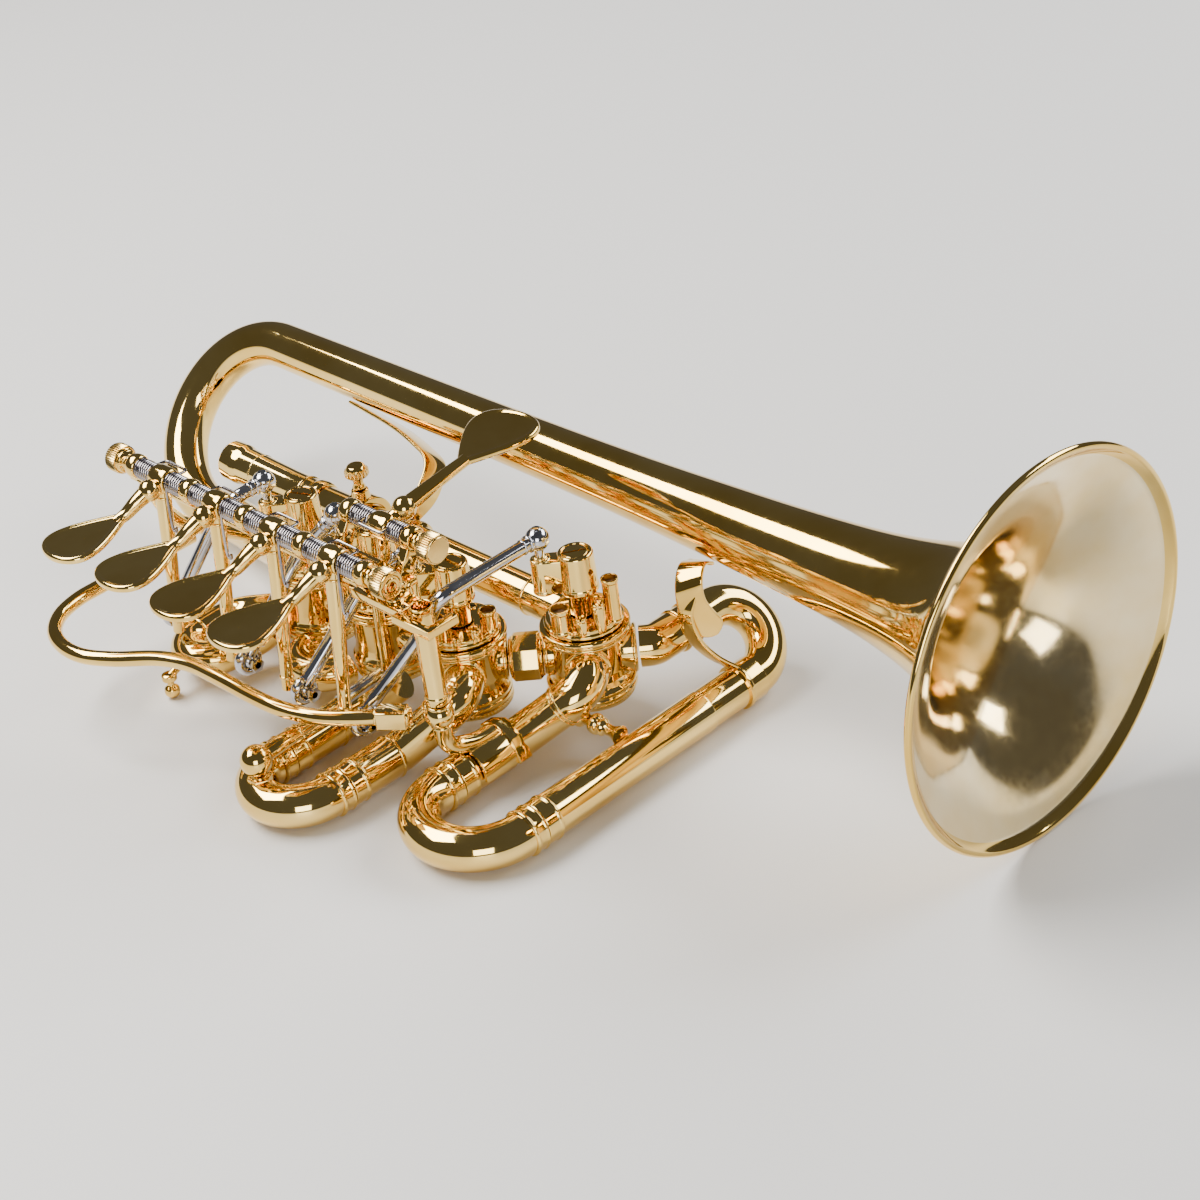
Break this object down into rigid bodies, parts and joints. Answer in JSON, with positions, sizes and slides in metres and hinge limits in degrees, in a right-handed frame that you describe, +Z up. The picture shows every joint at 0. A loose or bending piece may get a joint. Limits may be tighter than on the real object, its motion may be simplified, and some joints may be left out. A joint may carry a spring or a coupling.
{
  "type": "rotary-valve piccolo trumpet",
  "caption": "Compact gold-lacquered trumpet with rotary valves, finger levers, link rods, a thumb trigger and movable tuning slides.",
  "frame": {"origin": "centre of the bounding box on the table plane", "axes": "+X along the bell axis towards the bell mouth, +Y away from the finger paddles along the valve slides, +Z up parallel to the rotor axes"},
  "size_m": [0.2974, 0.1622, 0.096],
  "materials": {
    "gold": "mirror-polished gold lacquer",
    "steel": "polished link rods",
    "spring": "drawn spring wire"
  },
  "bodies": {
    "instrument": {"bell": "gold", "bell_bow": "gold", "bow_brace": "gold", "leadpipe": "gold", "mouthpiece_receiver": "gold", "leadpipe_clamp": "gold", "valve_casing_1": "gold", "valve_casing_2": "gold", "valve_casing_3": "gold", "valve_casing_4": "gold", "stop_plate_1": "gold", "stop_plate_2": "gold", "stop_plate_3": "gold", "stop_plate_4": "gold", "valve_cap_1": "gold", "valve_cap_2": "gold", "valve_cap_3": "gold", "valve_cap_4": "gold", "valve_knuckle": "gold", "slide_2_crook": "gold", "slide_4_inner_tube": "gold", "slide_4_outer_tube": "gold", "slide_4_brace": "gold", "slide_3_inner_tube": "gold", "slide_3_outer_tube": "gold", "slide_1_crook": "gold", "rest_foot": "gold", "finger_hook": "gold", "lever_frame": "gold", "main_axle": "gold", "trigger_axle": "gold", "guard_wire": "gold", "guard_ferrule": "gold", "guard_post": "gold", "guard_bracket": "gold", "lever_spring_1": "spring", "lever_spring_2": "spring", "lever_spring_3": "spring", "lever_spring_4": "spring", "trigger_spring": "spring"},
    "clamp_thumbscrew_body": {"clamp_thumbscrew": "gold"},
    "main_axle_nut_body": {"main_axle_nut": "gold"},
    "trigger_axle_nut_body": {"trigger_axle_nut": "gold"},
    "slide_3_crook_body": {"slide_3_crook": "gold"},
    "slide_4_crook_body": {"slide_4_crook": "gold"},
    "trigger_rod_body": {"trigger_rod": "steel"},
    "trigger_lever_body": {"trigger_lever": "gold"},
    "lever_1_body": {"lever_1": "gold"},
    "lever_2_body": {"lever_2": "gold"},
    "lever_3_body": {"lever_3": "gold"},
    "lever_4_body": {"lever_4": "gold"},
    "valve_rotor_1_body": {"valve_rotor_1": "gold"},
    "valve_rotor_2_body": {"valve_rotor_2": "gold"},
    "valve_rotor_3_body": {"valve_rotor_3": "gold"},
    "valve_rotor_4_body": {"valve_rotor_4": "gold"},
    "link_rod_1_body": {"link_rod_1": "steel"},
    "link_rod_2_body": {"link_rod_2": "steel"},
    "link_rod_3_body": {"link_rod_3": "steel"},
    "link_rod_4_body": {"link_rod_4": "steel"}
  },
  "joints": [
    {"name": "lever_1_press", "type": "hinge", "parent": "instrument", "child": "lever_1_body", "pos_m": [-0.0674, -0.0452, 0.0596], "axis": [1, 0, 0], "range_deg": [0, 16.7], "stiffness_Nm_per_rad": 0.1, "springref_deg": -11.46},
    {"name": "rotor_1_turn", "type": "hinge", "parent": "instrument", "child": "valve_rotor_1_body", "pos_m": [-0.0494, -0.0182, 0.048], "axis": [0, 0, -1], "range_deg": [0, 90]},
    {"name": "link_rod_1_swing", "type": "hinge", "parent": "valve_rotor_1_body", "child": "link_rod_1_body", "pos_m": [-0.0554, -0.0242, 0.0523], "axis": [0, 0, 1], "range_deg": [0, 90]},
    {"name": "lever_2_press", "type": "hinge", "parent": "instrument", "child": "lever_2_body", "pos_m": [-0.0451, -0.0452, 0.0596], "axis": [1, 0, 0], "range_deg": [0, 16.7], "stiffness_Nm_per_rad": 0.1, "springref_deg": -11.46},
    {"name": "rotor_2_turn", "type": "hinge", "parent": "instrument", "child": "valve_rotor_2_body", "pos_m": [-0.0209, -0.0182, 0.048], "axis": [0, 0, -1], "range_deg": [0, 90]},
    {"name": "link_rod_2_swing", "type": "hinge", "parent": "valve_rotor_2_body", "child": "link_rod_2_body", "pos_m": [-0.0269, -0.0242, 0.0523], "axis": [0, 0, 1], "range_deg": [0, 90]},
    {"name": "lever_3_press", "type": "hinge", "parent": "instrument", "child": "lever_3_body", "pos_m": [-0.0228, -0.0452, 0.0596], "axis": [1, 0, 0], "range_deg": [0, 16.7], "stiffness_Nm_per_rad": 0.1, "springref_deg": -11.46},
    {"name": "rotor_3_turn", "type": "hinge", "parent": "instrument", "child": "valve_rotor_3_body", "pos_m": [0.0076, -0.0182, 0.048], "axis": [0, 0, -1], "range_deg": [0, 90]},
    {"name": "link_rod_3_swing", "type": "hinge", "parent": "valve_rotor_3_body", "child": "link_rod_3_body", "pos_m": [0.0016, -0.0242, 0.0523], "axis": [0, 0, 1], "range_deg": [0, 90]},
    {"name": "lever_4_press", "type": "hinge", "parent": "instrument", "child": "lever_4_body", "pos_m": [-0.0005, -0.0452, 0.0596], "axis": [1, 0, 0], "range_deg": [0, 16.7], "stiffness_Nm_per_rad": 0.1, "springref_deg": -11.46},
    {"name": "rotor_4_turn", "type": "hinge", "parent": "instrument", "child": "valve_rotor_4_body", "pos_m": [0.0296, 0.0028, 0.048], "axis": [0, 0, -1], "range_deg": [0, 90]},
    {"name": "link_rod_4_swing", "type": "hinge", "parent": "valve_rotor_4_body", "child": "link_rod_4_body", "pos_m": [0.0236, -0.0032, 0.0523], "axis": [0, 0, 1], "range_deg": [0, 90]},
    {"name": "trigger_press", "type": "hinge", "parent": "instrument", "child": "trigger_lever_body", "pos_m": [0.0033, -0.0322, 0.0635], "axis": [-1, 0, 0], "range_deg": [0, 10.31], "stiffness_Nm_per_rad": 0.15, "springref_deg": -8.59},
    {"name": "trigger_rod_push", "type": "slide", "parent": "instrument", "child": "trigger_rod_body", "axis": [0, -1, 0], "range_m": [0, 0.008]},
    {"name": "slide_3_throw", "type": "slide", "parent": "instrument", "child": "slide_3_crook_body", "axis": [0, -1, 0], "range_m": [0, 0.008]},
    {"name": "slide_4_draw", "type": "slide", "parent": "instrument", "child": "slide_4_crook_body", "axis": [0, -1, 0], "range_m": [0, 0.012]},
    {"name": "clamp_screw_turn", "type": "hinge", "parent": "instrument", "child": "clamp_thumbscrew_body", "pos_m": [-0.0599, 0.0078, 0.0289], "axis": [0, 0, 1], "continuous": true},
    {"name": "main_nut_turn", "type": "hinge", "parent": "instrument", "child": "main_axle_nut_body", "pos_m": [0.0127, -0.0452, 0.0596], "axis": [1, 0, 0], "continuous": true},
    {"name": "trigger_nut_turn", "type": "hinge", "parent": "instrument", "child": "trigger_axle_nut_body", "pos_m": [0.0154, -0.0322, 0.0635], "axis": [1, 0, 0], "continuous": true}
  ],
  "couplings": [
    {"joint": "rotor_1_turn", "follows": "lever_1_press", "ratio": 5.389},
    {"joint": "link_rod_1_swing", "follows": "lever_1_press", "ratio": 5.389},
    {"joint": "rotor_2_turn", "follows": "lever_2_press", "ratio": 5.389},
    {"joint": "link_rod_2_swing", "follows": "lever_2_press", "ratio": 5.389},
    {"joint": "rotor_3_turn", "follows": "lever_3_press", "ratio": 5.389},
    {"joint": "link_rod_3_swing", "follows": "lever_3_press", "ratio": 5.389},
    {"joint": "rotor_4_turn", "follows": "lever_4_press", "ratio": 5.389},
    {"joint": "link_rod_4_swing", "follows": "lever_4_press", "ratio": 5.389},
    {"joint": "trigger_rod_push", "follows": "trigger_press", "m_per_rad": 0.0443},
    {"joint": "slide_3_throw", "follows": "trigger_press", "m_per_rad": 0.0443}
  ]
}
